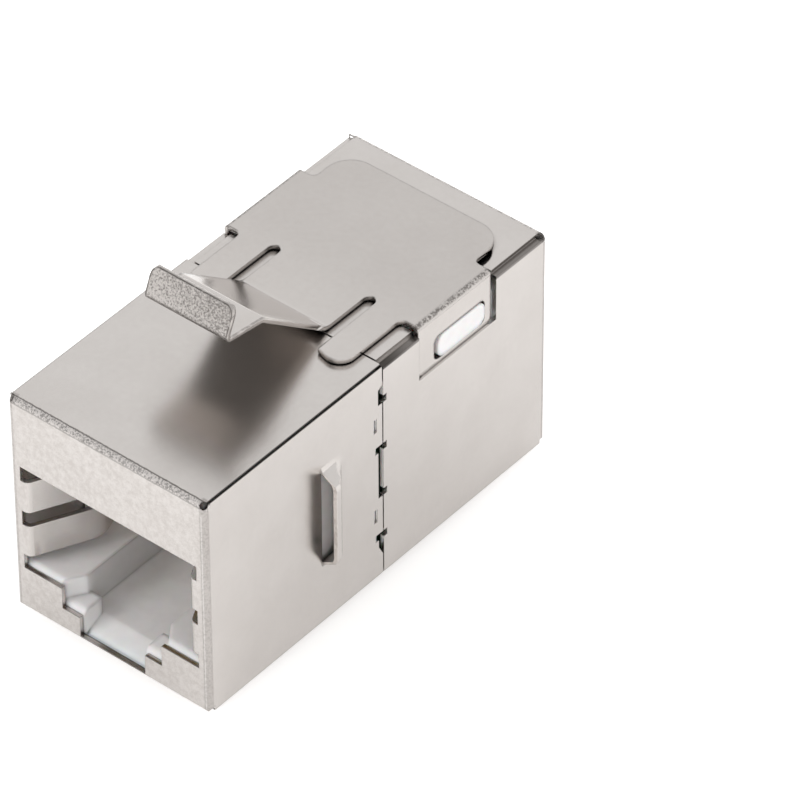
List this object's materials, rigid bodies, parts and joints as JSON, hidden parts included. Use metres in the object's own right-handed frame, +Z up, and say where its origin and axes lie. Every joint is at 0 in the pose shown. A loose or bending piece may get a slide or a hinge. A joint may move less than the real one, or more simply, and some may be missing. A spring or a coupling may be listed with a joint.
{
  "type": "rj45 inline coupler",
  "caption": "Shielded snap-in RJ45 inline coupler: back-to-back modular jacks in a folded metal shell, with a sprung latch tongue on top.",
  "frame": {"origin": "middle of the bounding box's lowest plane, which is the plane of the bottom catch's crown", "axes": "+Y from the front port to the rear port, +Z up through the latch tongue, +X to the right of one who looks into the front port"},
  "size_m": [0.0168, 0.03, 0.0232],
  "materials": {
    "plated_sheet": "satin nickel-plated sheet with a fine mottled grain",
    "spring_sheet": "satin nickel-plated spring sheet, rough at the folds",
    "white_plastic": "matt moulded",
    "carrier_plastic": "matt moulded",
    "board": "satin solder mask over glass laminate",
    "contact_gold": "gold-plated phosphor bronze"
  },
  "bodies": {
    "root": {"front_shield": "plated_sheet", "rear_shield": "plated_sheet", "latch_spring": "spring_sheet", "front_housing": "white_plastic", "rear_housing": "white_plastic", "front_contact_carrier": "carrier_plastic", "rear_contact_carrier": "carrier_plastic", "circuit_board": "board", "front_contact_1": "contact_gold", "front_contact_2": "contact_gold", "front_contact_3": "contact_gold", "front_contact_4": "contact_gold", "front_contact_5": "contact_gold", "front_contact_6": "contact_gold", "front_contact_7": "contact_gold", "front_contact_8": "contact_gold", "rear_contact_1": "contact_gold", "rear_contact_2": "contact_gold", "rear_contact_3": "contact_gold", "rear_contact_4": "contact_gold", "rear_contact_5": "contact_gold", "rear_contact_6": "contact_gold", "rear_contact_7": "contact_gold", "rear_contact_8": "contact_gold"}
  },
  "joints": []
}
